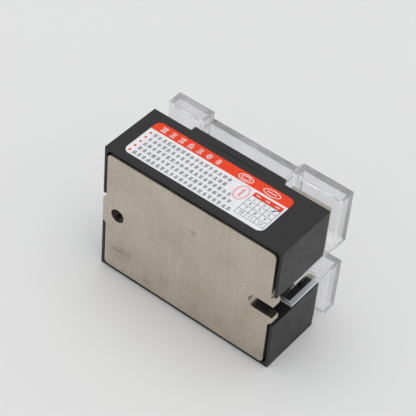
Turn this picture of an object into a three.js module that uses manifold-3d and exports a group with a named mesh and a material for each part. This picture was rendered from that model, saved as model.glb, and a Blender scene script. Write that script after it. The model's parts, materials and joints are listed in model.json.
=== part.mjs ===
// Single-phase solid state relay in the flat "hockey puck" case, standing on one long side.
// Millimetres. +X runs along the length, +Y from the metal base towards the terminals and the
// clear cover, +Z up through the labelled long side. Inside the case every height z is counted
// from the middle of the 45 mm width, so that both halves are mirror images.
import * as THREE from 'three';
import { mergeVertices } from 'three/addons/utils/BufferGeometryUtils.js';
import Module from 'manifold-3d';

const wasm = await Module();
wasm.setup();

// ---------------------------------------------------------------- driving dimensions
const LENGTH = 60;                 // moulded case
const WIDTH = 45;
const PLATFORM = 21;               // depth of the case at the terminal platforms
const RAISED = 22.9;               // depth of the case at its raised middle
const RAISED_FROM = -17;           // the raised middle along the length
const RAISED_TO = 14.2;
const WALL = 1.9;
const ROOF = 18.5;                 // underside of the roof, where the cavity ends

const NOTCH_HALF = 5.4;            // mounting notches in both short ends
const NOTCH_CENTRE = 24;           // centre of the notches' round inner ends

const PLATE_INSET = 1.55;          // metal base plate, let into the case
const PLATE_THICK = 2.9;
const PLATE_PROUD = 0.45;
const PLATE_CORNER = 1.3;
const PLATE_GROOVE = 0.6;          // open groove between the plate and the rim of the case
const TAB_END = 29.6;              // the plate's tabs fill the notches up to here
const HOLE_X = -24.3;              // round mounting hole, and 48 mm away the open slot
const HOLE_R = 2.25;
const SLOT_X = 23.7;
const SLOT_R = 2.15;

const COVER_TOP = 31.3;            // clear clip-on cover
const COVER_SHEET = 1.5;           // its top sheet
const COVER_WALL = 1.2;
const COVER_X = 0.55;              // it sits this far off centre, its play taken up to one side
const COVER_HALF = 29.8;
const COVER_BLOCK_Z = 22.4;        // half width over the terminals
const COVER_WAIST_Z = 20;          // half width along the middle
const COVER_STEP_LEFT = -16.8;
const COVER_STEP_RIGHT = 14;
const COVER_SLANT = 2.2;           // run of the slanted step on the output side
const COVER_RIM_BLOCK = 26.4;      // how far down the walls come over the terminals
const COVER_RIM_WAIST = 23.2;      // and along the middle
const COVER_NOTCH_HALF = 4.1;
const COVER_NOTCH_CENTRE = 23.6;
const LEG_THICK = 0.9;             // clip legs, in line with the notch walls
const LEG_FROM = 24.05;            // counted from the cover's own middle
const LEG_TO = 29.3;
const LEG_TIP = 8.6;
const LEG_BAR = 1.35;
const LEG_TIP_BAR = 0.8;
const LEG_WINDOW_TOP = 22.6;
const NUB_Y = [17, 19.4];          // the nubs that the legs' windows ride on
const NUB_X = [26, 27];
const NUB_REACH = 0.9;

const GAP = 0.05;                  // clearance between pieces that rest on each other
const BOLT = { shank: 1.95, bore: 2.15, nut: 7, nutHeight: 3.2, length: 6.6 };

// Output terminals on the right, input terminals on the left.
const TERMINALS = {
  output: {
    x: 22.6, z: 14, plateX: [16.4, 29.1], plateZ: [5.8, 21.6], thick: 1.95,
    washer: 10.4, washerThick: 1, headR: 4.1, headHeight: 2.7,
    legX: [16.4, 17.6], legHalf: 3, footX: 12.6, footY: 3.75, footThick: 1,
  },
  input: {
    x: -24, z: 14, plateX: [-28, -18.4], plateZ: [9, 19], thick: 1.2,
    washer: 8.6, washerThick: 0.8, headR: 3.5, headHeight: 2.4,
    legX: [-19.6, -18.4], legHalf: 2.2, footX: -14.4, footY: 11.5, footThick: 0.8,
  },
};

const LABEL = { x: [-25.6, 21.2], y: [2.25, 17.75], thick: 0.12, corner: 1.9 };
const TOP_LABEL = { x: [-13.4, 11.6], half: 17.6, thick: 0.12, corner: 1.2 };
const LED = { x: -10, z: 0, r: 1.5 };
const BOARD = { x: [-16.4, 15.8], half: 19.2, y: 9.8, thick: 1.6 };
const SUBSTRATE = { x: [-8, 16.5], half: 17.6, thick: 0.65 };

// ---------------------------------------------------------------- finishes
function finish(color, roughness, metalness, opacity = 1) {
  return new THREE.MeshStandardMaterial({
    color, roughness, metalness, opacity, transparent: opacity < 1,
  });
}

const NICKEL = finish(0xaaa091, 0.42, 0.9);
const MOULDING = finish(0x343436, 0.5, 0);
const CLEAR = finish(0xe6e8ee, 0.12, 0, 0.3);
const TINNED = finish(0xb9b7ac, 0.35, 0.9);
const ZINC = finish(0xc4c4c0, 0.32, 0.95);
const COPPER = finish(0xb4694a, 0.35, 0.9);
const CERAMIC = finish(0xeeeae0, 0.7, 0);
const SILICON = finish(0x4a4c55, 0.25, 0.3);
const GEL = finish(0xcfd0c4, 0.2, 0, 0.6);
const BOARD_GREEN = finish(0x2c6b3f, 0.45, 0);
const BLACK_EPOXY = finish(0x1c1c1e, 0.6, 0);
const BEIGE_COAT = finish(0xcdb78d, 0.55, 0);
const YELLOW_FILM = finish(0xd8b23c, 0.45, 0);
const RED_LENS = finish(0xc22a22, 0.2, 0, 0.8);
const PAPER = finish(0xf0f0f2, 0.5, 0);

// ---------------------------------------------------------------- shape helpers
function solidOf(geometry) {
  const bare = geometry.clone();
  bare.deleteAttribute('normal');
  bare.deleteAttribute('uv');
  const merged = mergeVertices(bare, 1e-5);
  return new wasm.Manifold(new wasm.Mesh({
    numProp: 3,
    vertProperties: new Float32Array(merged.attributes.position.array),
    triVerts: new Uint32Array(merged.index.array),
  }));
}

function geometryOf(solid) {
  const mesh = solid.getMesh();
  const geometry = new THREE.BufferGeometry();
  geometry.setAttribute('position', new THREE.BufferAttribute(mesh.vertProperties, 3));
  geometry.setIndex(new THREE.BufferAttribute(mesh.triVerts, 1));
  geometry.computeVertexNormals();
  return geometry;
}

function block([x0, x1], [y0, y1], [z0, z1]) {
  const box = new THREE.BoxGeometry(x1 - x0, y1 - y0, z1 - z0);
  return solidOf(box.translate((x0 + x1) / 2, (y0 + y1) / 2, (z0 + z1) / 2));
}

// A flat outline in x and z, thickened along +Y from y0 to y1.
function prism(shape, y0, y1, curveSegments = 20) {
  const slab = new THREE.ExtrudeGeometry(shape, { depth: y1 - y0, bevelEnabled: false, curveSegments });
  return solidOf(slab.rotateX(Math.PI / 2).translate(0, y1, 0));
}

// A round piece whose axis runs along Y.
function rodY(x, z, r, y0, y1, sides = 36) {
  const rod = new THREE.CylinderGeometry(r, r, y1 - y0, sides);
  return solidOf(rod.translate(x, (y0 + y1) / 2, z));
}

// A round piece whose axis runs along Z.
function rodZ(x, y, r, z0, z1, sides = 16) {
  const rod = new THREE.CylinderGeometry(r, r, z1 - z0, sides).rotateX(Math.PI / 2);
  return solidOf(rod.translate(x, y, (z0 + z1) / 2));
}

function roundedRectangle(x0, x1, z0, z1, r) {
  const shape = new THREE.Shape();
  shape.moveTo(x0 + r, z0);
  shape.lineTo(x1 - r, z0);
  shape.absarc(x1 - r, z0 + r, r, -Math.PI / 2, 0);
  shape.lineTo(x1, z1 - r);
  shape.absarc(x1 - r, z1 - r, r, 0, Math.PI / 2);
  shape.lineTo(x0 + r, z1);
  shape.absarc(x0 + r, z1 - r, r, Math.PI / 2, Math.PI);
  shape.lineTo(x0, z0 + r);
  shape.absarc(x0 + r, z0 + r, r, Math.PI, 1.5 * Math.PI);
  return shape;
}

function fromPoints(points) {
  return new THREE.Shape(points.map(([x, z]) => new THREE.Vector2(x, z)));
}

// A slot with one round end at x = centre, open past x = mouth.
function openSlot(centre, half, mouth) {
  const toMouth = Math.sign(mouth - centre);
  const shape = new THREE.Shape();
  shape.moveTo(mouth, -half * toMouth);
  shape.lineTo(mouth, half * toMouth);
  shape.lineTo(centre, half * toMouth);
  shape.absarc(centre, 0, half, toMouth * Math.PI / 2, toMouth * Math.PI * 1.5, false);
  return shape;
}

function joined(...solids) {
  return solids.reduce((whole, piece) => whole.add(piece));
}

function cut(solid, ...tools) {
  return tools.reduce((rest, tool) => rest.subtract(tool), solid);
}

const relay = new THREE.Group();

function addPiece(name, material, solid, place = [0, 0, 0]) {
  const mesh = new THREE.Mesh(geometryOf(solid), material);
  mesh.name = name;
  mesh.position.set(...place);
  relay.add(mesh);
}

// ---------------------------------------------------------------- base plate
function plateOutline(grow) {
  const halfX = LENGTH / 2 - PLATE_INSET + grow;
  const halfZ = WIDTH / 2 - PLATE_INSET + grow;
  return roundedRectangle(-halfX, halfX, -halfZ, halfZ, PLATE_CORNER);
}

function basePlate() {
  const back = PLATE_THICK - PLATE_PROUD;
  const tabHalf = NOTCH_HALF - 0.2;
  const chamfer = 1.1;
  const rootX = TAB_END - chamfer;
  const tabs = prism(fromPoints([
    [-TAB_END, chamfer - tabHalf], [-rootX, -tabHalf], [rootX, -tabHalf], [TAB_END, chamfer - tabHalf],
    [TAB_END, tabHalf - chamfer], [rootX, tabHalf], [-rootX, tabHalf], [-TAB_END, tabHalf - chamfer],
  ]), -PLATE_PROUD, back);
  return cut(
    joined(prism(plateOutline(0), -PLATE_PROUD, back, 4), tabs),
    rodY(HOLE_X, 0, HOLE_R, -PLATE_PROUD - 1, back + 1),
    prism(openSlot(SLOT_X, SLOT_R, LENGTH / 2 + 1), -PLATE_PROUD - 1, back + 1),
  );
}

// ---------------------------------------------------------------- moulded case
const CAVITY_X = LENGTH / 2 - WALL;
const CAVITY_Z = WIDTH / 2 - WALL;
const NOTCH_WALL_Z = NOTCH_HALF + 1.6;
const NOTCH_WALL_X = NOTCH_CENTRE - NOTCH_HALF - 1.6;

// The H-shaped room inside the case: a middle bay and four arms beside the notches.
function room(y0, y1, shrink) {
  const x = CAVITY_X - shrink;
  const z = CAVITY_Z - shrink;
  const waistX = NOTCH_WALL_X - shrink;
  const waistZ = NOTCH_WALL_Z + shrink;
  return prism(fromPoints([
    [-x, -z], [x, -z], [x, -waistZ], [waistX, -waistZ], [waistX, waistZ], [x, waistZ],
    [x, z], [-x, z], [-x, waistZ], [-waistX, waistZ], [-waistX, -waistZ], [-x, -waistZ],
  ]), y0, y1);
}

function terminalBoss(t, side) {
  const half = BOLT.nut / 2 + 0.9;
  const z = side * t.z;
  return block([t.x - half, t.x + half], [ROOF - 5, ROOF + 0.5], [z - half, z + half]);
}

function terminalPocket(t, side) {
  const half = BOLT.nut / 2 + 0.2;
  const z = side * t.z;
  const floor = PLATFORM - BOLT.nutHeight - 0.5;
  const slack = 0.3;
  return joined(
    block([t.x - half, t.x + half], [floor, PLATFORM + 1], [z - half, z + half]),
    rodY(t.x, z, BOLT.shank + 0.4, ROOF - 4, floor + 1, 16),
    block(
      [t.legX[0] - slack, t.legX[1] + slack],
      [ROOF - 1, PLATFORM + 1],
      [z - t.legHalf - slack, z + t.legHalf + slack],
    ),
  );
}

function clipNub(end, side) {
  const face = side * (NOTCH_HALF + 0.2);
  const tip = side * (NOTCH_HALF - NUB_REACH);
  const wedge = new THREE.Shape();
  wedge.moveTo(NUB_Y[0], face);
  wedge.lineTo(NUB_Y[1] + 1, face);
  wedge.lineTo(NUB_Y[1], tip);
  wedge.lineTo(NUB_Y[0], tip);
  const width = NUB_X[1] - NUB_X[0];
  const nub = new THREE.ExtrudeGeometry(wedge, { depth: width, bevelEnabled: false });
  // the wedge is drawn in y and z, and its thickness runs along x
  nub.applyMatrix4(new THREE.Matrix4().set(
    0, 0, 1, end > 0 ? NUB_X[0] : -NUB_X[1],
    1, 0, 0, 0,
    0, 1, 0, 0,
    0, 0, 0, 1,
  ));
  return solidOf(nub);
}

function housing() {
  const halfX = LENGTH / 2;
  const halfZ = WIDTH / 2;
  let body = joined(
    block([-halfX, halfX], [0, PLATFORM], [-halfZ, halfZ]),
    block([RAISED_FROM, RAISED_TO], [PLATFORM - 1, RAISED], [-halfZ, halfZ]),
  );
  for (const end of [-1, 1]) {
    body = body.subtract(prism(openSlot(end * NOTCH_CENTRE, NOTCH_HALF, end * (halfX + 1)), -1, RAISED + 1));
  }
  const seat = PLATE_THICK - PLATE_PROUD + GAP;
  body = cut(body, prism(plateOutline(PLATE_GROOVE), -1, seat, 4), room(seat - 0.5, ROOF, 0));
  for (const t of Object.values(TERMINALS)) {
    for (const side of [-1, 1]) {
      body = body.add(terminalBoss(t, side)).subtract(terminalPocket(t, side));
    }
  }
  for (const end of [-1, 1]) {
    for (const side of [-1, 1]) {
      body = body.add(clipNub(end, side));
    }
  }
  return body.subtract(rodY(LED.x, LED.z, LED.r + 0.1, ROOF - 1, RAISED + 1));
}

// ---------------------------------------------------------------- clear cover
// The dog-bone outline, moved in by `inset` all round; the notch walls are as thick as the legs.
function coverOutline(inset, notchInset) {
  const left = COVER_X - COVER_HALF + inset;
  const right = COVER_X + COVER_HALF - inset;
  const blockZ = COVER_BLOCK_Z - inset;
  const waistZ = COVER_WAIST_Z - inset;
  const notchZ = COVER_NOTCH_HALF + notchInset;
  const notchX = COVER_NOTCH_CENTRE;
  const slantShift = inset * Math.tan(Math.PI / 8);
  const stepLeft = COVER_STEP_LEFT - inset;
  const slantTop = COVER_STEP_RIGHT + slantShift;
  const slantFoot = COVER_STEP_RIGHT - COVER_SLANT + slantShift;
  const shape = new THREE.Shape();
  shape.moveTo(left, -blockZ);
  shape.lineTo(stepLeft, -blockZ);
  shape.lineTo(stepLeft, -waistZ);
  shape.lineTo(slantFoot, -waistZ);
  shape.lineTo(slantTop, -blockZ);
  shape.lineTo(right, -blockZ);
  shape.lineTo(right, -notchZ);
  shape.lineTo(COVER_X + notchX, -notchZ);
  shape.absarc(COVER_X + notchX, 0, notchZ, -Math.PI / 2, Math.PI / 2, true);
  shape.lineTo(right, notchZ);
  shape.lineTo(right, blockZ);
  shape.lineTo(slantTop, blockZ);
  shape.lineTo(slantFoot, waistZ);
  shape.lineTo(stepLeft, waistZ);
  shape.lineTo(stepLeft, blockZ);
  shape.lineTo(left, blockZ);
  shape.lineTo(left, notchZ);
  shape.lineTo(COVER_X - notchX, notchZ);
  shape.absarc(COVER_X - notchX, 0, notchZ, Math.PI / 2, -Math.PI / 2, true);
  shape.lineTo(left, -notchZ);
  return shape;
}

function clipLeg(end, side) {
  const xs = (from, to) => [COVER_X + end * from, COVER_X + end * to].sort((a, b) => a - b);
  const zs = (from, to) => [side * from, side * to].sort((a, b) => a - b);
  const inner = COVER_NOTCH_HALF;
  const outer = COVER_NOTCH_HALF + LEG_THICK;
  return cut(
    block(xs(LEG_FROM, LEG_TO), [LEG_TIP, COVER_RIM_BLOCK + 1], zs(inner, outer)),
    block(
      xs(LEG_FROM + LEG_BAR, LEG_TO - LEG_BAR),
      [LEG_TIP + LEG_TIP_BAR, LEG_WINDOW_TOP],
      zs(inner - 1, outer + 1),
    ),
  );
}

function clearCover() {
  const ceiling = COVER_TOP - COVER_SHEET;
  const stepRight = COVER_STEP_RIGHT + COVER_WALL;
  const stepLeft = COVER_STEP_LEFT - COVER_WALL;
  const far = LENGTH;
  let cover = prism(coverOutline(0, 0), COVER_RIM_WAIST, COVER_TOP)
    .subtract(prism(coverOutline(COVER_WALL, LEG_THICK), COVER_RIM_WAIST - 1, ceiling));
  // over the terminals the walls stop higher up, to let the wires in
  const below = [COVER_RIM_WAIST - 1, COVER_RIM_BLOCK];
  cover = cut(
    cover,
    block([-far, COVER_STEP_LEFT], below, [-far, far]),
    block([COVER_STEP_RIGHT, far], below, [-far, far]),
  );
  // a cross rib closes each pair of terminal trays towards the middle
  const ribHalf = COVER_BLOCK_Z - COVER_WALL / 2;
  cover = joined(
    cover,
    block([stepLeft, COVER_STEP_LEFT], [COVER_RIM_BLOCK, ceiling + 0.5], [-ribHalf, ribHalf]),
    block([COVER_STEP_RIGHT, stepRight], [COVER_RIM_BLOCK, ceiling + 0.5], [-ribHalf, ribHalf]),
  );
  for (const end of [-1, 1]) {
    for (const side of [-1, 1]) {
      cover = cover.add(clipLeg(end, side));
    }
  }
  return cover;
}

// ---------------------------------------------------------------- terminals
function terminalPlate(t, side) {
  const bottom = PLATFORM + GAP;
  const zs = [side * t.plateZ[0], side * t.plateZ[1]].sort((a, b) => a - b);
  const leg = [side * t.z - t.legHalf, side * t.z + t.legHalf];
  const foot = [Math.min(t.footX, t.legX[0]), Math.max(t.footX, t.legX[1])];
  const flat = joined(
    block(t.plateX, [bottom, bottom + t.thick], zs),
    block(t.legX, [t.footY, bottom + t.thick / 2], leg),
    block(foot, [t.footY, t.footY + t.footThick], leg),
  );
  return flat.subtract(rodY(t.x, side * t.z, BOLT.bore + 0.15, PLATFORM - 1, PLATFORM + 4));
}

function terminalNut() {
  const half = BOLT.nut / 2;
  return block([-half, half], [0, BOLT.nutHeight], [-half, half])
    .subtract(rodY(0, 0, BOLT.bore, -1, BOLT.nutHeight + 1));
}

// A square clamping washer; two of its edges are turned up and stop the wire from escaping.
function clampWasher(t) {
  const half = t.washer / 2;
  const lip = 0.8;
  return cut(
    joined(
      block([-half, half], [0, t.washerThick], [-half, half]),
      block([-half, half], [0, t.washerThick + lip], [-half, -half + lip * 0.6]),
      block([-half, half], [0, t.washerThick + lip], [half - lip * 0.6, half]),
    ),
    rodY(0, 0, BOLT.bore + 0.15, -1, t.washerThick + 1),
  );
}

// A pan-head machine screw with a straight slot crossed by a short one.
function terminalScrew(t) {
  const { headR, headHeight } = t;
  const edge = headHeight * 0.55;
  const profile = [
    [0, -BOLT.length], [BOLT.shank - 0.4, -BOLT.length], [BOLT.shank, -BOLT.length + 0.5],
    [BOLT.shank, 0], [headR, 0], [headR, edge], [headR * 0.86, headHeight * 0.85],
    [headR * 0.6, headHeight], [0, headHeight],
  ].map(([r, y]) => new THREE.Vector2(r, y));
  const recess = [headHeight * 0.5, headHeight + 1];
  const half = 0.5;
  return cut(
    solidOf(new THREE.LatheGeometry(profile, 36)),
    block([-headR - 1, headR + 1], recess, [-half, half]),
    block([-half, half], recess, [-headR * 0.55, headR * 0.55]),
  );
}

// ---------------------------------------------------------------- electronics
const ON_PLATE = PLATE_THICK - PLATE_PROUD + GAP;
const ON_SUBSTRATE = ON_PLATE + SUBSTRATE.thick + GAP;
const PAD_THICK = 0.4;
const ON_PAD = ON_SUBSTRATE + PAD_THICK + GAP;
const CHIP = { x: [2, 9], z: [3.5, 10.5], thick: 0.5 };
const ON_BOARD = BOARD.y + BOARD.thick + GAP;
const GEL_TOP = 8.2;
const PIN = { x: -4, z: 8, r: 0.45 };
const mirrored = ([a, b], side) => (side > 0 ? [a, b] : [-b, -a]);

function powerStage() {
  addPiece('ceramic_substrate', CERAMIC, block(
    SUBSTRATE.x, [ON_PLATE, ON_PLATE + SUBSTRATE.thick], [-SUBSTRATE.half, SUBSTRATE.half],
  ));
  for (const [index, side] of [-1, 1].entries()) {
    const number = index + 1;
    const padZ = mirrored([1, SUBSTRATE.half - 0.8], side);
    const pad = block([0.5, 15.9], [ON_SUBSTRATE, ON_SUBSTRATE + PAD_THICK], padZ);
    addPiece(`copper_pad_${number}`, COPPER, pad);
    const chipZ = mirrored(CHIP.z, side);
    addPiece(`thyristor_chip_${number}`, SILICON, block(CHIP.x, [ON_PAD, ON_PAD + CHIP.thick], chipZ));
    // each clip goes from the top of one chip to the other chip's pad
    const onChip = ON_PAD + CHIP.thick + GAP;
    const clipX = side > 0 ? [2.6, 4.8] : [6.2, 8.4];
    const across = [side * 9.6, side * -2.2].sort((a, b) => a - b);
    const foot = [side * -1.2, side * -2.2].sort((a, b) => a - b);
    addPiece(`copper_clip_${number}`, COPPER, joined(
      block(clipX, [onChip, onChip + 0.5], across),
      block(clipX, [ON_PAD, onChip + 0.2], foot),
    ));
    addPiece(`gate_pin_${number}`, TINNED, rodY(PIN.x, side * PIN.z, PIN.r, ON_SUBSTRATE, BOARD.y - GAP, 12));
  }
}

function pottingGel() {
  const slack = 0.3;
  let gel = room(ON_PLATE + 0.3, GEL_TOP, slack);
  gel = gel.subtract(block(
    [SUBSTRATE.x[0] - slack, 18], [0, 5.8], [-SUBSTRATE.half - slack, SUBSTRATE.half + slack],
  ));
  for (const side of [-1, 1]) {
    const { legX, legHalf, z } = TERMINALS.output;
    gel = cut(
      gel,
      block([legX[0] - slack, legX[1] + slack], [0, GEL_TOP + 1],
        [side * z - legHalf - slack, side * z + legHalf + slack]),
      rodY(PIN.x, side * PIN.z, PIN.r + slack, 0, GEL_TOP + 1, 12),
    );
  }
  return gel;
}

// An axial part such as a resistor or a diode, lying along Z with its wire ends bent down.
function axialPart(length, r, wire) {
  const reach = length / 2 + 1.4;
  const pieces = [rodZ(0, r + 0.2, r, -length / 2, length / 2)];
  for (const side of [-1, 1]) {
    const lead = [side * (length / 2 - 0.3), side * (reach + wire)].sort((a, b) => a - b);
    const down = [side * reach - wire, side * reach + wire];
    pieces.push(block([-wire, wire], [r + 0.2 - wire, r + 0.2 + wire], lead));
    pieces.push(block([-wire, wire], [0, r + 0.2 + wire], down));
  }
  return joined(...pieces);
}

function controlBoard() {
  addPiece('control_board', BOARD_GREEN, block(BOARD.x, [BOARD.y, BOARD.y + BOARD.thick], [-BOARD.half, BOARD.half]));
  addPiece('optocoupler', BLACK_EPOXY, block([-3.2, 3.2], [0, 3.6], [-4.4, 4.4]), [0.5, ON_BOARD, 0]);
  const flat = new THREE.Shape();
  flat.absarc(0, 0, 2.4, -0.8, Math.PI + 0.8);
  addPiece('drive_transistor', BLACK_EPOXY, prism(flat, 0, 4.8), [-11.5, ON_BOARD, -7.5]);
  addPiece('snubber_capacitor', YELLOW_FILM, block([-2.6, 2.6], [0, 6.2], [-6.6, 6.6]), [12.4, ON_BOARD, 0]);
  const axials = [
    ['input_resistor', -6.6, 12.6, 6.4, 1.2, BEIGE_COAT],
    ['input_diode', -6.6, -12.6, 4.6, 1.3, BLACK_EPOXY],
    ['gate_resistor_1', 2.2, 12.6, 6.4, 1.2, BEIGE_COAT],
    ['gate_resistor_2', 2.2, -12.6, 6.4, 1.2, BEIGE_COAT],
    ['snubber_resistor', 7.2, 0, 9.6, 1.7, BEIGE_COAT],
  ];
  for (const [name, x, z, length, r, coat] of axials) {
    addPiece(name, coat, axialPart(length, r, 0.3), [x, ON_BOARD, z]);
  }
  const dome = [[0, 0], [1.75, 0], [1.75, 0.9], [1.45, 0.9], [1.45, 3.2], [1.1, 4.1], [0.6, 4.5], [0, 4.6]];
  const bulb = new THREE.LatheGeometry(dome.map(([r, y]) => new THREE.Vector2(r, y)), 20);
  addPiece('indicator_led', RED_LENS, solidOf(bulb), [LED.x, ON_BOARD, LED.z]);
  addPiece('led_lens', RED_LENS, rodY(0, 0, LED.r, 0, RAISED + 0.1 - ROOF + 0.9, 20), [LED.x, ROOF - 0.9, LED.z]);
}

// ---------------------------------------------------------------- labels
function sideLabel() {
  const { x, y, thick, corner } = LABEL;
  const shape = roundedRectangle(x[0], x[1], y[0], y[1], corner);
  const sheet = new THREE.ExtrudeGeometry(shape, { depth: thick, bevelEnabled: false, curveSegments: 6 });
  return solidOf(sheet.translate(0, 0, WIDTH / 2 + 0.02));
}

function topLabel() {
  const { x, half, thick, corner } = TOP_LABEL;
  const bottom = RAISED + 0.02;
  return cut(
    prism(roundedRectangle(x[0], x[1], -half, half, corner), bottom, bottom + thick, 5),
    rodY(LED.x, LED.z, LED.r + 0.5, RAISED - 1, RAISED + 2, 20),
  );
}

// ---------------------------------------------------------------- assembly
addPiece('base_plate', NICKEL, basePlate());
addPiece('housing', MOULDING, housing());
powerStage();
addPiece('potting_gel', GEL, pottingGel());
controlBoard();

for (const [kind, t] of Object.entries(TERMINALS)) {
  for (const [index, side] of [-1, 1].entries()) {
    const tag = `${kind}_${index + 1}`;
    const onPlate = PLATFORM + GAP + t.thick + GAP;
    const nutBottom = PLATFORM - BOLT.nutHeight - 0.2;
    addPiece(`${tag}_terminal_plate`, TINNED, terminalPlate(t, side));
    addPiece(`${tag}_square_nut`, ZINC, terminalNut(), [t.x, nutBottom, side * t.z]);
    addPiece(`${tag}_clamp_washer`, ZINC, clampWasher(t), [t.x, onPlate, side * t.z]);
    const underHead = onPlate + t.washerThick + GAP;
    addPiece(`${tag}_terminal_screw`, ZINC, terminalScrew(t), [t.x, underHead, side * t.z]);
  }
}

addPiece('side_label', PAPER, sideLabel());
addPiece('top_label', PAPER, topLabel());
addPiece('clear_cover', CLEAR, clearCover());

// The origin is under the middle of the whole relay's box, on the surface it stands on.
const boxRight = COVER_X + COVER_HALF;
relay.position.set((LENGTH / 2 - boxRight) / 2, -(COVER_TOP - PLATE_PROUD) / 2, WIDTH / 2);

export default relay;
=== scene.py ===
# A single-phase solid state relay, standing on one long side with its metal base towards the
# viewer. Metres, +X along the length, +Y from the base plate to the clear cover, +Z up through
# the labelled long side. Sizes below are in millimetres and turned into metres by MM.
import json
import math

import bmesh
import bpy
from mathutils import Matrix, Vector

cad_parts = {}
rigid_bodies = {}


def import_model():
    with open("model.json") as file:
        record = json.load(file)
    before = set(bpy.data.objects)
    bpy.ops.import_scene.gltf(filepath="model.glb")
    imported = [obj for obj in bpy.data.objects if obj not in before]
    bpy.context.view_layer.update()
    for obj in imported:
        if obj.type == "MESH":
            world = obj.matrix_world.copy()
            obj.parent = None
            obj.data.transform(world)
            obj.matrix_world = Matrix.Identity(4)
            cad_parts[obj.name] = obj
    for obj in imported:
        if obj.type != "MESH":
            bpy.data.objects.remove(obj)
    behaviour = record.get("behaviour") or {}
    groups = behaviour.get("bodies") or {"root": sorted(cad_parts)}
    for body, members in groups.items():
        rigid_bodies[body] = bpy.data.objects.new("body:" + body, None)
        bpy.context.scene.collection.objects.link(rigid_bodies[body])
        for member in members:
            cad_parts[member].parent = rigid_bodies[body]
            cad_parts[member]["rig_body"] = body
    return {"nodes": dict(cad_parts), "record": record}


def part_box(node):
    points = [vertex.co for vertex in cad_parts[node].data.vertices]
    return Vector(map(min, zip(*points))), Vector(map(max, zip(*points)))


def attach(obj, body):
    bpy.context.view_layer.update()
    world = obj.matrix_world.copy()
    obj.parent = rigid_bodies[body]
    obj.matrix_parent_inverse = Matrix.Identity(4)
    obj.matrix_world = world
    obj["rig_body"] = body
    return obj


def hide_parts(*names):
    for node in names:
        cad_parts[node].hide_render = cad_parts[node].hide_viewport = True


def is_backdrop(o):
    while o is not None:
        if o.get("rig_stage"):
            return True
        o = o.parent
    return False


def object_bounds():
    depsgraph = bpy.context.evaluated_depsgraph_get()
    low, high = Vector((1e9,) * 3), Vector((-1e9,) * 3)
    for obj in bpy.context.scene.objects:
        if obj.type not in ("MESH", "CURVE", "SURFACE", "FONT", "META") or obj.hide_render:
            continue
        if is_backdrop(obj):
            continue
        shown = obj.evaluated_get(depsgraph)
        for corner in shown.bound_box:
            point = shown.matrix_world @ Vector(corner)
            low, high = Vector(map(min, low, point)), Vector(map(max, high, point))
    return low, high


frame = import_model()
CAD_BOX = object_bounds()
MM = 0.001
NODES = frame["nodes"]
SLOT_OF = {part["node"]: part["material_slot"] for part in frame["record"]["subparts"]}


# ---------------------------------------------------------------- material helpers
class Finish:
    """One finish: a Principled shader with a few patterns on the piece's own coordinates."""

    def __init__(self, name, color, roughness, metallic=0.0, **sockets):
        self.material = bpy.data.materials.new(name)
        self.material.use_nodes = True
        self.tree = self.material.node_tree
        self.shader = self.tree.nodes["Principled BSDF"]
        self.set("Base Color", (*color, 1.0))
        self.set("Roughness", roughness)
        self.set("Metallic", metallic)
        for socket, value in sockets.items():
            self.set(socket.replace("_", " "), value)
        self.place = self.node("ShaderNodeTexCoord").outputs["Object"]

    def set(self, socket, value):
        self.shader.inputs[socket].default_value = value

    def node(self, kind, **settings):
        made = self.tree.nodes.new(kind)
        for name, value in settings.items():
            setattr(made, name, value)
        return made

    def link(self, source, target):
        self.tree.links.new(source, target)

    def stretched(self, scale):
        """The piece's own coordinates, scaled per axis, in features per metre."""
        mapping = self.node("ShaderNodeMapping")
        mapping.inputs["Scale"].default_value = scale
        self.link(self.place, mapping.inputs["Vector"])
        return mapping.outputs["Vector"]

    def noise(self, scale, detail=3.0, roughness=0.5, vector=None):
        """A cloudy pattern of scale features per metre, from 0 to 1."""
        noise = self.node("ShaderNodeTexNoise")
        noise.inputs["Scale"].default_value = scale
        noise.inputs["Detail"].default_value = detail
        noise.inputs["Roughness"].default_value = roughness
        self.link(vector or self.place, noise.inputs["Vector"])
        return noise.outputs["Fac"]

    def near(self, point, radius, strength):
        """strength at a point of the piece, in millimetres, fading to nothing at the radius."""
        away = self.node("ShaderNodeVectorMath", operation="DISTANCE")
        away.inputs[1].default_value = Vector(point) * MM
        self.link(self.place, away.inputs[0])
        return self.range(away.outputs["Value"], 0, radius * MM, strength, 0)

    def product(self, first, second):
        """Two sockets multiplied together."""
        times = self.node("ShaderNodeMath", operation="MULTIPLY")
        self.link(first, times.inputs[0])
        self.link(second, times.inputs[1])
        return times.outputs[0]

    def range(self, source, low, high, to_low=0.0, to_high=1.0):
        """source between low and high becomes a number between to_low and to_high."""
        remap = self.node("ShaderNodeMapRange")
        for name, value in (
            ("From Min", low), ("From Max", high), ("To Min", to_low), ("To Max", to_high),
        ):
            remap.inputs[name].default_value = value
        self.link(source, remap.inputs["Value"])
        return remap.outputs["Result"]

    def mixed(self, share, first, second):
        """A colour between first and second, each a colour or a socket."""
        mix = self.node("ShaderNodeMix", data_type="RGBA")
        self.link(share, mix.inputs[0])
        colors = [socket for socket in mix.inputs if socket.type == "RGBA"]
        for socket, value in zip(colors, (first, second)):
            if isinstance(value, bpy.types.NodeSocket):
                self.link(value, socket)
            else:
                socket.default_value = (*value, 1.0)
        return next(socket for socket in mix.outputs if socket.type == "RGBA")

    def colored(self, color):
        self.link(color, self.shader.inputs["Base Color"])

    def roughened(self, roughness):
        self.link(roughness, self.shader.inputs["Roughness"])

    def bumped(self, *heights):
        """Relief from (height socket, strength, depth in metres) layers, one on another."""
        normal = None
        for height, strength, depth in heights:
            bump = self.node("ShaderNodeBump")
            bump.inputs["Strength"].default_value = strength
            bump.inputs["Distance"].default_value = depth
            self.link(height, bump.inputs["Height"])
            if normal is not None:
                self.link(normal, bump.inputs["Normal"])
            normal = bump.outputs["Normal"]
        self.link(normal, self.shader.inputs["Normal"])


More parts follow.
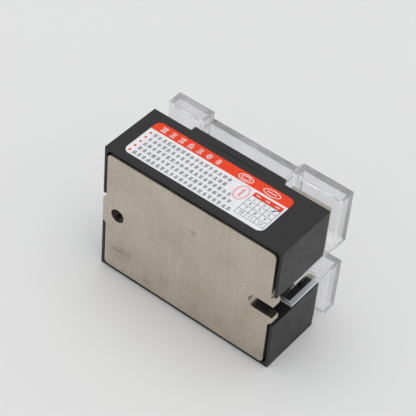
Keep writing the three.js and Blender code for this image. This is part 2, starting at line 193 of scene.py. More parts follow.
# places on the base plate's face that handling has darkened: (x, z, radius, strength)
SMUDGES = (
    (-24.0, 8.6, 4.6, 0.60), (-20.6, 9.6, 2.6, 0.45), (-12.8, 4.1, 2.8, 0.55),
    (-7.2, 8.2, 2.4, 0.35), (1.6, 33.7, 1.6, 0.70), (26.4, 3.7, 3.4, 0.50),
)
PLATE_FACE_Y = -15.9


def nickel_plate():
    """Satin nickel on a rolled plate: warm, finely sanded, faintly streaked, stained and specked."""
    f = Finish("nickel_plate", (0.60, 0.54, 0.45), 0.42, 1.0)
    cloud = f.range(f.noise(70, 4, 0.6), 0.35, 0.68)
    tone = f.mixed(cloud, (0.665, 0.605, 0.51), (0.575, 0.515, 0.425))
    streak = f.range(f.noise(1, 5, 0.7, f.stretched((900, 900, 55))), 0.42, 0.75, 0.0, 0.28)
    tone = f.mixed(streak, tone, (0.45, 0.39, 0.31))
    stain = f.range(f.noise(42, 5, 0.65), 0.60, 0.76, 0.0, 0.45)
    tone = f.mixed(stain, tone, (0.34, 0.29, 0.20))
    sanding = f.range(f.noise(2600, 2, 0.6), 0.38, 0.66, 0.0, 0.42)
    tone = f.mixed(sanding, tone, (0.36, 0.31, 0.24))
    blotch = f.range(f.noise(700, 5, 0.7), 0.36, 0.64)
    for x, z, radius, strength in SMUDGES:
        smudge = f.product(f.near((x, PLATE_FACE_Y, z), radius, strength), blotch)
        tone = f.mixed(smudge, tone, (0.13, 0.105, 0.06))
    speck = f.range(f.noise(1250, 2, 0.5), 0.715, 0.76, 0.0, 0.6)
    tone = f.mixed(speck, tone, (0.17, 0.13, 0.09))
    f.colored(tone)
    f.roughened(f.range(f.noise(160, 5, 0.65), 0.3, 0.7, 0.36, 0.50))
    rolled = f.noise(1, 4, 0.7, f.stretched((5200, 5200, 160)))
    f.bumped((rolled, 0.10, 0.00003), (f.noise(3200, 3), 0.22, 0.00003))
    return f.material


def painted_shade_wall():
    """Painted shade for the walls of the holes in the base plate: darker and rougher than its face."""
    f = Finish("painted_shade_wall", (0.17, 0.15, 0.12), 0.5, 1.0)
    torn = f.noise(1, 4, 0.7, f.stretched((2600, 300, 2600)))
    f.colored(f.mixed(f.range(torn, 0.35, 0.65), (0.20, 0.18, 0.15), (0.10, 0.09, 0.07)))
    f.bumped((torn, 0.3, 0.00005))
    return f.material


def black_moulding():
    """Spark-eroded black moulding: an even fine grain with a slight bloom of gloss."""
    f = Finish("black_moulding", (0.012, 0.012, 0.013), 0.44, Specular_IOR_Level=0.42)
    bloom = f.range(f.noise(240, 4, 0.6), 0.3, 0.7)
    f.colored(f.mixed(bloom, (0.007, 0.007, 0.008), (0.012, 0.012, 0.013)))
    f.roughened(f.range(f.noise(420, 4), 0.3, 0.7, 0.38, 0.50))
    f.bumped((f.noise(5200, 2, 0.6), 0.22, 0.00004), (f.noise(900, 3), 0.05, 0.00005))
    return f.material


def label_white():
    """Smooth white label film."""
    f = Finish("label_white", (0.80, 0.80, 0.83), 0.42, Specular_IOR_Level=0.3)
    f.colored(f.mixed(f.range(f.noise(900, 3), 0.35, 0.65), (0.78, 0.78, 0.815), (0.84, 0.84, 0.86)))
    f.bumped((f.noise(700, 3), 0.06, 0.00004))
    return f.material


def printing(name, color, second):
    """Ink on the label film, a little uneven where the screen laid it down."""
    f = Finish(name, color, 0.45, Specular_IOR_Level=0.2)
    f.colored(f.mixed(f.range(f.noise(2400, 3), 0.35, 0.65), color, second))
    f.bumped((f.noise(700, 3), 0.06, 0.00004))
    return f.material


def clear_plastic(name, color, roughness, transmission, alpha):
    """Clear injection moulding. Lamps reach through it, so that it throws a pale shadow."""
    f = Finish(name, color, roughness, IOR=1.33, Transmission_Weight=transmission, Alpha=alpha)
    f.bumped((f.noise(260, 2), 0.03, 0.0001))
    see_through = f.node("ShaderNodeBsdfTransparent")
    see_through.inputs["Color"].default_value = (0.95, 0.95, 0.96, 1)
    lamp_rays = f.node("ShaderNodeLightPath")
    choose = f.node("ShaderNodeMixShader")
    output = f.tree.nodes["Material Output"]
    f.link(lamp_rays.outputs["Is Shadow Ray"], choose.inputs["Fac"])
    f.link(f.shader.outputs["BSDF"], choose.inputs[1])
    f.link(see_through.outputs["BSDF"], choose.inputs[2])
    f.link(choose.outputs["Shader"], output.inputs["Surface"])
    return f.material


def metal(name, color, second, roughness, grain=1800):
    """A plated or bare metal whose colour and gloss drift a little over the piece."""
    f = Finish(name, color, roughness, 1.0)
    f.colored(f.mixed(f.range(f.noise(320, 4, 0.6), 0.3, 0.7), color, second))
    f.roughened(f.range(f.noise(700, 4), 0.3, 0.7, roughness - 0.07, roughness + 0.09))
    f.bumped((f.noise(grain, 4, 0.6), 0.12, 0.00003))
    return f.material


def dull(name, color, second, roughness, grain=1500, **sockets):
    """A ceramic, lacquer, laminate or epoxy with a fine grain."""
    f = Finish(name, color, roughness, **sockets)
    f.colored(f.mixed(f.range(f.noise(600, 4, 0.6), 0.3, 0.7), color, second))
    f.roughened(f.range(f.noise(900, 3), 0.3, 0.7, roughness - 0.05, roughness + 0.07))
    f.bumped((f.noise(grain, 3), 0.15, 0.00004))
    return f.material


FINISHES = {
    "nickel_plate": nickel_plate(),
    "black_moulding": black_moulding(),
    "clear_plastic": clear_plastic("clear_plastic", (0.985, 0.985, 0.995), 0.02, 1.0, 0.76),
    "alumina": dull("alumina", (0.84, 0.82, 0.76), (0.78, 0.76, 0.69), 0.62),
    "copper": metal("copper", (0.78, 0.39, 0.25), (0.62, 0.28, 0.17), 0.34),
    "silicon": dull("silicon", (0.10, 0.11, 0.14), (0.15, 0.16, 0.20), 0.18),
    "tinned_brass": metal("tinned_brass", (0.46, 0.43, 0.37), (0.36, 0.335, 0.285), 0.38),
    "zinc_steel": metal("zinc_steel", (0.74, 0.74, 0.75), (0.60, 0.61, 0.63), 0.28),
    "silicone_gel": dull(
        "silicone_gel", (0.70, 0.71, 0.65), (0.62, 0.63, 0.57), 0.22, Transmission_Weight=0.6,
    ),
    "board_laminate": dull("board_laminate", (0.035, 0.20, 0.075), (0.05, 0.27, 0.10), 0.38),
    "black_epoxy": dull("black_epoxy", (0.018, 0.018, 0.020), (0.032, 0.032, 0.034), 0.55),
    "yellow_film": dull("yellow_film", (0.74, 0.50, 0.06), (0.66, 0.43, 0.05), 0.36),
    "resistor_coat": dull("resistor_coat", (0.64, 0.50, 0.29), (0.56, 0.43, 0.24), 0.46),
    "red_lens": dull("red_lens", (0.55, 0.03, 0.025), (0.45, 0.02, 0.02), 0.16, Transmission_Weight=0.5),
    "label_film": label_white(),
}
# A dark copy of the plate's nickel: painted shade for the walls inside its hole and slot
SHADED_WALL = painted_shade_wall()
# A whiter, less clear copy of the cover's plastic for its legs' bars: a painted highlight
HIGHLIGHT_PLASTIC = clear_plastic("painted_highlight_plastic", (0.92, 0.92, 0.96), 0.12, 0.35, 0.85)
RED_INK = printing("red_ink", (0.80, 0.045, 0.008), (0.88, 0.062, 0.014))
WHITE_INK = printing("white_ink", (0.85, 0.83, 0.83), (0.80, 0.78, 0.78))
GREY_INK = printing("grey_ink", (0.085, 0.085, 0.10), (0.13, 0.13, 0.145))
BLACK_INK = printing("black_ink", (0.05, 0.05, 0.06), (0.09, 0.09, 0.10))
BLUE_INK = printing("blue_ink", (0.08, 0.08, 0.42), (0.12, 0.12, 0.50))


# ---------------------------------------------------------------- mesh helpers
def add_object(name, data):
    """A new object in the scene, at the origin."""
    made = bpy.data.objects.new(name, data)
    bpy.context.scene.collection.objects.link(made)
    return made


def stands_for(piece, node):
    """piece rides with node's body and is shown in its place."""
    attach(piece, NODES[node]["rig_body"])
    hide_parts(node)
    return piece


def baked(piece):
    """piece with its modifiers worked into its mesh."""
    shape = piece.evaluated_get(bpy.context.evaluated_depsgraph_get())
    mesh = bpy.data.meshes.new_from_object(shape)
    piece.modifiers.clear()
    piece.data = mesh
    return piece


def whole_mesh(node, name):
    """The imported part's shape as one closed mesh with whole flat faces."""
    shape = bmesh.new()
    shape.from_mesh(NODES[node].data)
    bmesh.ops.remove_doubles(shape, verts=shape.verts, dist=2e-6)
    bmesh.ops.dissolve_limit(
        shape, angle_limit=math.radians(0.5), verts=shape.verts, edges=shape.edges,
    )
    bmesh.ops.recalc_face_normals(shape, faces=shape.faces)
    mesh = bpy.data.meshes.new(name)
    shape.to_mesh(mesh)
    shape.free()
    for layer in ("custom_normal", "sharp_face", "sharp_edge"):
        if layer in mesh.attributes:
            mesh.attributes.remove(mesh.attributes[layer])
    mesh.materials.clear()
    return mesh


def carved(piece, *cutters):
    """piece with each cutter's shape taken out of it."""
    for cutter in cutters:
        cut = piece.modifiers.new("cut", "BOOLEAN")
        cut.operation = "DIFFERENCE"
        cut.solver = "EXACT"
        cut.object = cutter
    baked(piece)
    for cutter in cutters:
        bpy.data.objects.remove(cutter)
    return piece


def round_edges(piece, width_of, segments=2, sharpest=30):
    """Rounds each sharp edge by what width_of(edge) says, in millimetres."""
    shape = bmesh.new()
    shape.from_mesh(piece.data)
    weight = shape.edges.layers.float.new("bevel_weight_edge")
    widths = {}
    for edge in shape.edges:
        if len(edge.link_faces) == 2 and edge.calc_face_angle(0) > math.radians(sharpest):
            widths[edge] = width_of(edge)
    widest = max(widths.values())
    for edge, width in widths.items():
        edge[weight] = width / widest
    for face in shape.faces:
        face.smooth = True
    shape.to_mesh(piece.data)
    shape.free()
    bevel = piece.modifiers.new("rounded_edges", "BEVEL")
    bevel.width = widest * MM
    bevel.segments = segments
    bevel.limit_method = "WEIGHT"
    bevel.harden_normals = True


def softened(node, edge=0.1, segments=2, sharpest=30, name=None):
    """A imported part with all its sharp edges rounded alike."""
    name = name or f"finished_{node}"
    piece = add_object(name, whole_mesh(node, name))
    piece.data.materials.append(FINISHES[SLOT_OF[node]])
    round_edges(piece, lambda _: edge, segments, sharpest)
    return stands_for(piece, node)


def edge_middle(edge):
    """The point halfway along an edge."""
    return (edge.verts[0].co + edge.verts[1].co) / 2


def runs_along(edge, axis):
    """True if the edge is parallel to that axis, counted 0, 1, 2."""
    way = edge.verts[1].co - edge.verts[0].co
    return abs(way[axis]) > 0.99 * way.length


# ---------------------------------------------------------------- case
def seam_cutter(x_from, x_to, y, width, z, depth):
    """A groove that narrows to nothing at both ends, for cutting into a side face at z."""
    steps = 12
    spread = [i / steps for i in range(steps + 1)]

    def rim(t, side):
        return x_from + (x_to - x_from) * t, y + side * width / 2 * math.sin(math.pi * t)

    outline = [rim(t, 1) for t in spread] + [rim(t, -1) for t in spread[-2:0:-1]]
    shape = bmesh.new()
    face = shape.faces.new([shape.verts.new((x, y, z - depth)) for x, y in outline])
    raised = bmesh.ops.extrude_face_region(shape, geom=[face], use_keep_orig=True)
    far = [v for v in raised["geom"] if isinstance(v, bmesh.types.BMVert)]
    bmesh.ops.translate(shape, verts=far, vec=(0, 0, 2 * depth))
    bmesh.ops.recalc_face_normals(shape, faces=shape.faces)
    mesh = bpy.data.meshes.new("cutter")
    shape.to_mesh(mesh)
    shape.free()
    return add_object("cutter", mesh)


def moulded_housing():
    """The black case: a shallow seam along both long sides, and softer corners at the notches."""
    name = "moulded_housing"
    low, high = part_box("housing")
    piece = add_object(name, whole_mesh("housing", name))
    seam_from, seam_to, seam_y = low.x + 17.5 * MM, high.x - 20 * MM, low.y + 20.2 * MM
    seam_width, seam_depth = 0.42 * MM, 0.12 * MM
    carved(piece, *[
        seam_cutter(seam_from, seam_to, seam_y, seam_width, side, seam_depth)
        for side in (low.z, high.z)
    ])
    piece.data.materials.append(FINISHES["black_moulding"])
    mouth_corner, seam_edge, plain_edge = 0.8, 0.02, 0.26
    notch_half, side_band, seam_band = 6 * MM, 0.5 * MM, 0.5 * MM
    middle_z = (low.z + high.z) / 2

    def width_of(edge):
        at = edge_middle(edge)
        at_end = min(abs(at.x - low.x), abs(at.x - high.x)) < 0.01 * MM
        in_notch = abs(at.z - middle_z) < notch_half
        on_side = min(abs(at.z - low.z), abs(at.z - high.z)) < side_band
        if runs_along(edge, 1) and at_end and in_notch:
            return mouth_corner
        if on_side and abs(at.y - seam_y) < seam_band and seam_from - MM < at.x < seam_to + MM:
            return seam_edge
        return plain_edge

    round_edges(piece, width_of, 3)
    return stands_for(piece, "housing")


def nickel_base_plate():
    """The base plate; the walls of its hole and slot get a darker material as painted shade, except the
    ends that face the light.
    """
    name = "nickel_base_plate"
    low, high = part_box("base_plate")
    piece = add_object(name, whole_mesh("base_plate", name))
    piece.data.materials.append(FINISHES["nickel_plate"])
    piece.data.materials.append(SHADED_WALL)
    middle = (low + high) / 2
    hole_half, wall_reach = 2.4 * MM, 28.5 * MM
    for face in piece.data.polygons:
        at = face.center - middle
        in_opening = abs(at.z) < hole_half and abs(at.x) < wall_reach
        is_wall = abs(face.normal.y) < 0.5
        lit_end = face.normal.x >= 0.6
        # walls in the opening that don't face +X get painted shade; the ends facing +X catch the light
        # and stay bright nickel
        face.material_index = int(in_opening and is_wall and not lit_end)
    round_edges(piece, lambda _: 0.24, 3)
    return stands_for(piece, "base_plate")


def clip_on_cover():
    """The clear cover: well rounded upright corners, and the bars round its legs' windows in a brighter,
    less clear copy of its plastic, as a painted highlight.
    """
    name = "clip_on_cover"
    low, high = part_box("clear_cover")
    mesh = whole_mesh("clear_cover", name)
    leg_root, tip_bar = low.y + 13.6 * MM, low.y + 0.85 * MM
    middle_x, outer_bar = (low.x + high.x) / 2, 27.9 * MM
    rounded_corner, plain_edge = 1.4, 0.2
    shape = bmesh.new()
    shape.from_mesh(mesh)
    bmesh.ops.bisect_plane(
        shape, geom=shape.verts[:] + shape.edges[:] + shape.faces[:],
        plane_co=(0, leg_root, 0), plane_no=(0, 1, 0),
    )
    for face in shape.faces:
        at = face.calc_center_median()
        on_bar = at.y < tip_bar or abs(at.x - middle_x) > outer_bar
        # bars round the legs' windows get the brighter copy of the plastic, a painted highlight
        face.material_index = int(at.y < leg_root and on_bar)
    shape.to_mesh(mesh)
    shape.free()
    piece = add_object(name, mesh)
    piece.data.materials.append(FINISHES["clear_plastic"])
    piece.data.materials.append(HIGHLIGHT_PLASTIC)

    def width_of(edge):
        at_top = max(abs(v.co.y - high.y) for v in edge.verts) < 0.01 * MM
        return rounded_corner if at_top and runs_along(edge, 2) else plain_edge

    round_edges(piece, width_of, 3)
    return stands_for(piece, "clear_cover")


# ---------------------------------------------------------------- printing
class Print:
    """Flat ink shapes on a label, in millimetres from one corner of it."""

    THICKNESS = 0.012
    SUNK = 0.004
    FIRST_INKS = ("red", "black")  # the other inks are laid thicker, so that they show over these
    LATER_LAYERS = 1.7

    def __init__(self, corner, across, up, out):
        """The label's corner and the directions of its width, its height and its face."""
        turn = Matrix((across, up, out)).transposed().to_4x4()
        self.place = Matrix.Translation(corner) @ turn @ Matrix.Diagonal((MM, MM, MM, 1))
        self.shapes = {}

    def ink(self, color):
        """The mesh that collects one ink's shapes."""
        if color not in self.shapes:
            self.shapes[color] = bmesh.new()
        return self.shapes[color]

    def outline(self, color, points):
        """A filled shape inside a row of points."""
        shape = self.ink(color)
        shape.faces.new([shape.verts.new((u, v, 0)) for u, v in points])

    def bar(self, color, u, v, width, height):
        """A bar from its lower left corner."""
        self.outline(color, [(u, v), (u + width, v), (u + width, v + height), (u, v + height)])

    def ribbon(self, color, inner, outer, closed=True):
        """A strip between two rows of points."""
        shape = self.ink(color)
        rows = [[shape.verts.new((u, v, 0)) for u, v in points] for points in (inner, outer)]
        count = len(inner) if closed else len(inner) - 1
        for i in range(count):
            j = (i + 1) % len(inner)
            shape.faces.new((rows[0][i], rows[1][i], rows[1][j], rows[0][j]))

    def oval(self, color, u, v, half_u, half_v, width=None, steps=40):
        """A filled oval, or a ring of that line width."""
        around = [2 * math.pi * i / steps for i in range(steps)]
        outer = [(u + half_u * math.cos(a), v + half_v * math.sin(a)) for a in around]
        if width is None:
            self.outline(color, outer)
            return
        in_u, in_v = half_u - width, half_v - width
        inner = [(u + in_u * math.cos(a), v + in_v * math.sin(a)) for a in around]
        self.ribbon(color, inner, outer)

    def stroke(self, color, points, width):
        """A pen stroke that thins out towards both ends."""
        thinnest = 0.25
        last = len(points) - 1
        left, right = [], []
        for i, (u, v) in enumerate(points):
            before, after = points[max(i - 1, 0)], points[min(i + 1, last)]
            way = Vector((after[0] - before[0], after[1] - before[1])).normalized()
            swell = math.sin(math.pi * (i + 0.5) / (last + 1))
            half = width * (thinnest + (1 - thinnest) * swell) / 2
            left.append((u - way.y * half, v + way.x * half))
            right.append((u + way.y * half, v - way.x * half))
        self.ribbon(color, right, left, closed=False)

    def number(self, color, text, u, v, size):
        """A number centred on a point."""
        curve = bpy.data.curves.new("number", "FONT")
        curve.body = text
        curve.size = size
        curve.align_x = "CENTER"
        curve.align_y = "CENTER"
        holder = add_object("number", curve)
        mesh = bpy.data.meshes.new_from_object(
            holder.evaluated_get(bpy.context.evaluated_depsgraph_get()),
        )
        mesh.transform(Matrix.Translation((u, v, 0)))
        self.ink(color).from_mesh(mesh)
        bpy.data.objects.remove(holder)
        bpy.data.meshes.remove(mesh)

    def marks(self, color, tree, u, v, size, pitch, count, seed):
        """A row of stroke marks, made by the print_row nodes, from its first mark's middle."""
        holder = add_object("row", bpy.data.meshes.new("row"))
        row = holder.modifiers.new("row", "NODES")
        row.node_group = tree
        settings = {"Count": count, "Pitch": pitch, "Size": size, "Seed": seed}
        for socket in tree.interface.items_tree:
            if socket.in_out == "INPUT" and socket.name in settings:
                row[socket.identifier] = settings[socket.name]
        shape = holder.evaluated_get(bpy.context.evaluated_depsgraph_get())
        mesh = bpy.data.meshes.new_from_object(shape)
        mesh.transform(Matrix.Translation((u, v, 0)))
        self.ink(color).from_mesh(mesh)
        bpy.data.objects.remove(holder)
        bpy.data.meshes.remove(mesh)

    def finish(self, name, inks, body):
        """Makes one thin piece for each ink, with closed shapes."""
        for color, shape in self.shapes.items():
            bmesh.ops.remove_doubles(shape, verts=shape.verts, dist=1e-4)
            for face in shape.faces:
                if face.normal.z < 0:
                    face.normal_flip()
            shape.normal_update()
            raised = bmesh.ops.extrude_face_region(shape, geom=shape.faces[:], use_keep_orig=True)
            top = [v for v in raised["geom"] if isinstance(v, bmesh.types.BMVert)]
            bmesh.ops.translate(shape, verts=shape.verts, vec=(0, 0, -self.SUNK))
            layers = 1 if color in self.FIRST_INKS else self.LATER_LAYERS
            bmesh.ops.translate(shape, verts=top, vec=(0, 0, self.SUNK + layers * self.THICKNESS))
            bmesh.ops.recalc_face_normals(shape, faces=shape.faces)
            mesh = bpy.data.meshes.new(f"{name}_{color}")
            shape.to_mesh(mesh)
            shape.free()
            mesh.transform(self.place)
            mesh.materials.clear()
            mesh.materials.append(inks[color])
            piece = add_object(f"{name}_{color}", mesh)
            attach(piece, body)


def node_tree(name, inputs):
    """An empty geometry tree with named inputs: (name, kind, default)."""
    tree = bpy.data.node_groups.new(name, "GeometryNodeTree")
    for label, kind, default in inputs:
        socket = tree.interface.new_socket(label, in_out="INPUT", socket_type=kind)
        socket.default_value = default
    tree.interface.new_socket("Geometry", in_out="OUTPUT", socket_type="NodeSocketGeometry")
    return tree, tree.nodes.new("NodeGroupInput"), tree.nodes.new("NodeGroupOutput")


def print_row():
    """A row of marks, each of three level and two upright strokes whose lengths are drawn by lot."""
    tree, given, result = node_tree("print_row", (
        ("Count", "NodeSocketInt", 10), ("Pitch", "NodeSocketFloat", 1.5),
        ("Size", "NodeSocketFloat", 1.3), ("Seed", "NodeSocketInt", 1),
    ))
    shortest, longest, line_width, seed_step = 0.3, 0.95, 0.15, 17
    new, link = tree.nodes.new, tree.links.new
    join = new("GeometryNodeJoinGeometry")

    def times_size(factor):
        """The mark's size multiplied by a number or a socket."""
        product = new("ShaderNodeMath")
        product.operation = "MULTIPLY"
        link(given.outputs["Size"], product.inputs[0])
        if isinstance(factor, bpy.types.NodeSocket):
            link(factor, product.inputs[1])
        else:
            product.inputs[1].default_value = factor
        return product.outputs[0]

    def add_strokes(number, level, upright):
        """One stroke for each mark, set off from its middle by level sizes."""
        along, aside = ("Y", "X") if upright else ("X", "Y")
        line = new("GeometryNodeMeshLine")
        step = new("ShaderNodeCombineXYZ")
        link(given.outputs["Pitch"], step.inputs["X"])
        link(given.outputs["Count"], line.inputs["Count"])
        link(step.outputs[0], line.inputs["Offset"])
        off = new("ShaderNodeCombineXYZ")
        link(times_size(level), off.inputs[aside])
        moved = new("GeometryNodeSetPosition")
        link(line.outputs["Mesh"], moved.inputs["Geometry"])
        link(off.outputs[0], moved.inputs["Offset"])
        lot = new("FunctionNodeRandomValue")
        lot.data_type = "FLOAT"
        least, most = [socket for socket in lot.inputs if socket.type == "VALUE"][:2]
        least.default_value, most.default_value = shortest, longest
        seed = new("ShaderNodeMath")
        seed.operation = "ADD"
        seed.inputs[1].default_value = seed_step * number
        link(given.outputs["Seed"], seed.inputs[0])
        link(seed.outputs[0], lot.inputs["Seed"])
        grow = new("ShaderNodeCombineXYZ")
        drawn = next(socket for socket in lot.outputs if socket.type == "VALUE")
        link(times_size(drawn), grow.inputs[along])
        link(times_size(line_width), grow.inputs[aside])
        grow.inputs["Z"].default_value = 1
        tile = new("GeometryNodeMeshGrid")
        tile.inputs["Vertices X"].default_value = 2
        tile.inputs["Vertices Y"].default_value = 2
        place = new("GeometryNodeInstanceOnPoints")
        link(moved.outputs[0], place.inputs["Points"])
        link(tile.outputs["Mesh"], place.inputs["Instance"])
        link(grow.outputs[0], place.inputs["Scale"])
        link(place.outputs[0], join.inputs[0])

    for number, level in enumerate((-0.4, 0, 0.4)):
        add_strokes(number, level, upright=False)
    for number, level in enumerate((-0.2, 0.22), 3):
        add_strokes(number, level, upright=True)
    real = new("GeometryNodeRealizeInstances")
    link(join.outputs[0], real.inputs[0])
    painted = new("GeometryNodeSetMaterial")
    painted.inputs["Material"].default_value = GREY_INK
    link(real.outputs[0], painted.inputs["Geometry"])
    link(painted.outputs[0], result.inputs[0])
    return tree


INKS = {"red": RED_INK, "white": WHITE_INK, "grey": GREY_INK, "black": BLACK_INK, "blue": BLUE_INK}
ROW = print_row()


def label_sheet(node, name, corner, band):
    """The label's film with round corners; past the band's edge, along Y, it is printed red."""
    low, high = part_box(node)
    middle = (low + high) / 2
    steps = 8
    points = []
    for x, y, start in (
        (high.x, high.y, 0), (low.x, high.y, 90), (low.x, low.y, 180), (high.x, low.y, 270),
    ):
        center_x = x + math.copysign(corner, middle.x - x)
        center_y = y + math.copysign(corner, middle.y - y)
        for i in range(steps + 1):
            a = math.radians(start + 90 * i / steps)
            points.append((center_x + corner * math.cos(a), center_y + corner * math.sin(a)))
    shape = bmesh.new()
    shape.faces.new([shape.verts.new((x, y, low.z)) for x, y in points])
    bmesh.ops.bisect_plane(
        shape, geom=shape.verts[:] + shape.edges[:] + shape.faces[:],
        plane_co=(0, band, 0), plane_no=(0, 1, 0),
    )
    raised = bmesh.ops.extrude_face_region(shape, geom=shape.faces[:], use_keep_orig=True)
    top = [v for v in raised["geom"] if isinstance(v, bmesh.types.BMVert)]
    bmesh.ops.translate(shape, verts=top, vec=(0, 0, high.z - low.z))
    inside = [
        face for face in shape.faces
        if abs(face.calc_center_median().y - band) < 1e-7 and abs(face.normal.y) > 0.9
    ]
    bmesh.ops.delete(shape, geom=inside, context="FACES")
    bmesh.ops.recalc_face_normals(shape, faces=shape.faces)
    for face in shape.faces:
        face.material_index = int(face.calc_center_median().y > band)
    mesh = bpy.data.meshes.new(name)
    shape.to_mesh(mesh)
    shape.free()
    mesh.materials.append(FINISHES["label_film"])
    mesh.materials.append(RED_INK)
    return stands_for(add_object(name, mesh), node)


def side_label():
    """The rating label: a red heading band, five lines of small print, a stamp and a month table."""
    low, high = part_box("side_label")
    band_v = 11.85
    label_sheet("side_label", "printed_side_label", 1.9 * MM, low.y + band_v * MM)
    ink = Print(Vector((low.x, low.y, high.z)), (1, 0, 0), (0, 1, 0), (0, 0, 1))

    heading_u, heading_v, ring_u, badge_u = 3.5, 13.55, 31.6, 40.3
    ink.marks("white", ROW, heading_u, heading_v, size=2.0, pitch=3.12, count=7, seed=3)
    for u, half_u, half_v in ((ring_u, 2.45, 1.35), (badge_u, 2.8, 1.2)):
        ink.oval("white", u, heading_v, half_u, half_v, 0.24)
    ink.oval("white", ring_u, heading_v, 1.55, 0.8, 0.26)
    ink.bar("white", badge_u - 1.6, heading_v - 0.14, 3.2, 0.28)

    dot_u, dot_radius, text_u, first_line, line_pitch = 1.4, 0.4, 3.1, 10.16, 2.21
    marks_in_line = (17, 17, 19, 20, 21)
    for line, count in enumerate(marks_in_line):
        v = first_line - line * line_pitch
        ink.oval("red", dot_u, v, dot_radius, dot_radius, steps=20)
        color = "grey" if line else "black"
        ink.marks(color, ROW, text_u, v, size=1.32, pitch=1.6, count=count, seed=11 + 7 * line)

    stamp_u, stamp_v, stamp_pitch = 34.0, 8.4, 1.15
    ink.oval("red", stamp_u, stamp_v, 2.05, 3.0, 0.17)
    ink.oval("red", stamp_u, stamp_v, 1.65, 2.55, 0.09)
    for level in (-stamp_pitch, 0, stamp_pitch):
        ink.marks("red", ROW, stamp_u, stamp_v + level, size=1.0, pitch=1, count=1, seed=40)

    month_table(ink)
    ink.finish("side_label_print", INKS, NODES["side_label"]["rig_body"])


def month_table(ink):
    """Three columns and four rows of numbered boxes under a red strip, one of them ticked in pen."""
    left, bottom, column, row, line = 36.7, 1.45, 3.12, 1.98, 0.13
    columns, rows, strip, dash = 3, 4, 1.75, 0.32
    width, height = columns * column, rows * row
    ink.bar("red", left, bottom + height, width + line, strip)
    for i in range(columns):
        dash_u, dash_v = left + (i + 0.28) * column, bottom + height + strip / 2 - dash / 2
        ink.bar("white", dash_u, dash_v, column * 0.44, dash)
    for i in range(columns + 1):
        ink.bar("black", left + i * column, bottom, line, height)
    for j in range(rows + 1):
        for i in range(columns):
            ink.bar("black", left + i * column + line, bottom + j * row, column - line, line)
    for box in range(columns * rows):
        i, j = box % columns, box // columns
        u, v = left + (i + 0.52) * column, bottom + height - (j + 0.47) * row
        ink.number("grey", str(box + 1), u, v, 1.5)
    tick = ((7.0, 6.9), (7.5, 6.75), (8.1, 7.2), (8.7, 7.75), (9.5, 8.0))
    ink.stroke("blue", [(left + u, bottom + v) for u, v in tick], 0.34)


def top_label():
    """The terminal side's label: a dark heading, the terminals' numbers, and small print."""
    low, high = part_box("top_label")
    width, height = (high.x - low.x) / MM, (high.z - low.z) / MM
    softened("top_label", 0.03, 1, name="printed_top_label")
    ink = Print(Vector((high.x, high.y, low.z)), (-1, 0, 0), (0, 0, 1), (0, 1, 0))

    ink.bar("black", 6.5, 12.2, 11.5, 10.8)
    ink.marks("white", ROW, 8.4, 19.4, size=2.0, pitch=2.55, count=4, seed=5)
    ink.marks("white", ROW, 8.0, 15.3, size=1.2, pitch=1.5, count=6, seed=21)

    from_side, from_end = 2.6, 4.2
    for text, u, v in (
        ("1", from_side, height - from_end), ("2", from_side, from_end),
        ("3", width - from_side, from_end), ("4", width - from_side, height - from_end),
    ):
        ink.number("black", text, u, v, 3.2)
        ink.oval("black", u, v, 1.9, 1.9, 0.16)

    print_u, from_edge, half_pitch = 6.6, 4.4, 1
    for v in (height - from_edge, from_edge):
        ink.marks("grey", ROW, print_u, v + half_pitch, size=1.2, pitch=1.5, count=9, seed=31)
        ink.marks("grey", ROW, print_u, v - half_pitch, size=1.2, pitch=1.5, count=7, seed=43)

    rule_inset, rule_width = 1.0, 0.14
    for offset in (8.2, -8.3):
        ink.bar("black", rule_inset, height / 2 + offset, width - 2 * rule_inset, rule_width)
    ink.finish("top_label_print", INKS, NODES["top_label"]["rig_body"])


# parts whose edges are rounder than most: (radius in millimetres, segments)
ROUNDER_EDGES = {
    "potting_gel": (0.3, 2), "snubber_capacitor": (0.4, 3),
    "optocoupler": (0.2, 2), "drive_transistor": (0.2, 2),
}
PLAIN_EDGE = (0.1, 2)
OWN_SHAPE = {"housing", "base_plate", "clear_cover", "side_label", "top_label"}

moulded_housing()
nickel_base_plate()
clip_on_cover()
side_label()
top_label()
for node in SLOT_OF:
    if node not in OWN_SHAPE:
        edge, segments = ROUNDER_EDGES.get(node, PLAIN_EDGE)
        softened(node, edge, segments)


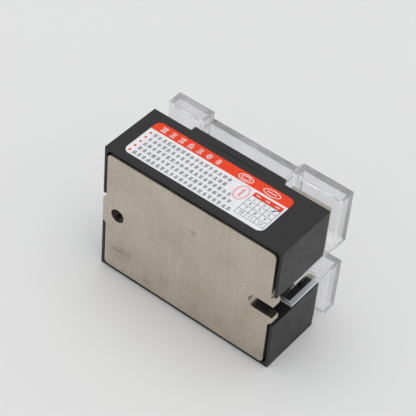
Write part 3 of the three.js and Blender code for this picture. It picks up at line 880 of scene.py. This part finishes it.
# ---------------------------------------------------------------- stage, lights and camera
def floor():
    """A wide sheet of pale paper under the relay."""
    mesh = bpy.data.meshes.new("floor")
    half = 3.0
    corners = [(-half, -half, 0), (half, -half, 0), (half, half, 0), (-half, half, 0)]
    mesh.from_pydata(corners, [], [(0, 1, 2, 3)])
    made = add_object("floor", mesh)
    f = Finish("floor_paper", (0.80, 0.80, 0.795), 0.9)
    f.colored(f.mixed(f.range(f.noise(3, 2), 0.3, 0.7), (0.795, 0.795, 0.795), (0.81, 0.81, 0.805)))
    mesh.materials.append(f.material)
    made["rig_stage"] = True


def area_light(name, place, target, size, power):
    """A round soft light of that width at place, turned to the target."""
    data = bpy.data.lights.new(name, "AREA")
    data.shape = "DISK"
    data.size = size
    data.energy = power
    made = add_object(name, data)
    made.location = place
    made.rotation_euler = (Vector(target) - Vector(place)).to_track_quat("-Z", "Y").to_euler()


def studio():
    """Even white surroundings and one large softbox overhead."""
    world = bpy.data.worlds.new("studio")
    bpy.context.scene.world = world
    world.use_nodes = True
    background = world.node_tree.nodes["Background"]
    background.inputs["Color"].default_value = (0.985, 0.99, 1.0, 1)
    background.inputs["Strength"].default_value = 0.705
    area_light("softbox", place=(0.0, 0.08, 1.0), target=(0, 0, 0.02), size=1.0, power=3.2)


def camera():
    """Azimuth 0 looks along +Y; the camera leans a little to its left."""
    azimuth, elevation, lean = math.radians(34.593), math.radians(44.458), math.radians(5.428)
    distance, focal = 0.45487, 142.055
    target = Vector((-5.672, 0.538, 26.233)) * MM
    level = math.cos(elevation)
    ahead = Vector((
        -math.sin(azimuth) * level, math.cos(azimuth) * level, -math.sin(elevation),
    ))
    data = bpy.data.cameras.new("camera")
    data.lens = focal
    data.sensor_width = 36
    data.clip_start = 0.01
    made = add_object("camera", data)
    upright = ahead.to_track_quat("-Z", "Y").to_matrix().to_4x4()
    stand = Matrix.Translation(target - ahead * distance)
    made.matrix_world = stand @ upright @ Matrix.Rotation(lean, 4, "Z")
    bpy.context.scene.camera = made


floor()
studio()
camera()
bpy.context.scene.view_settings.view_transform = "Standard"

[[list(corner) for corner in box] for box in (CAD_BOX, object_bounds())]
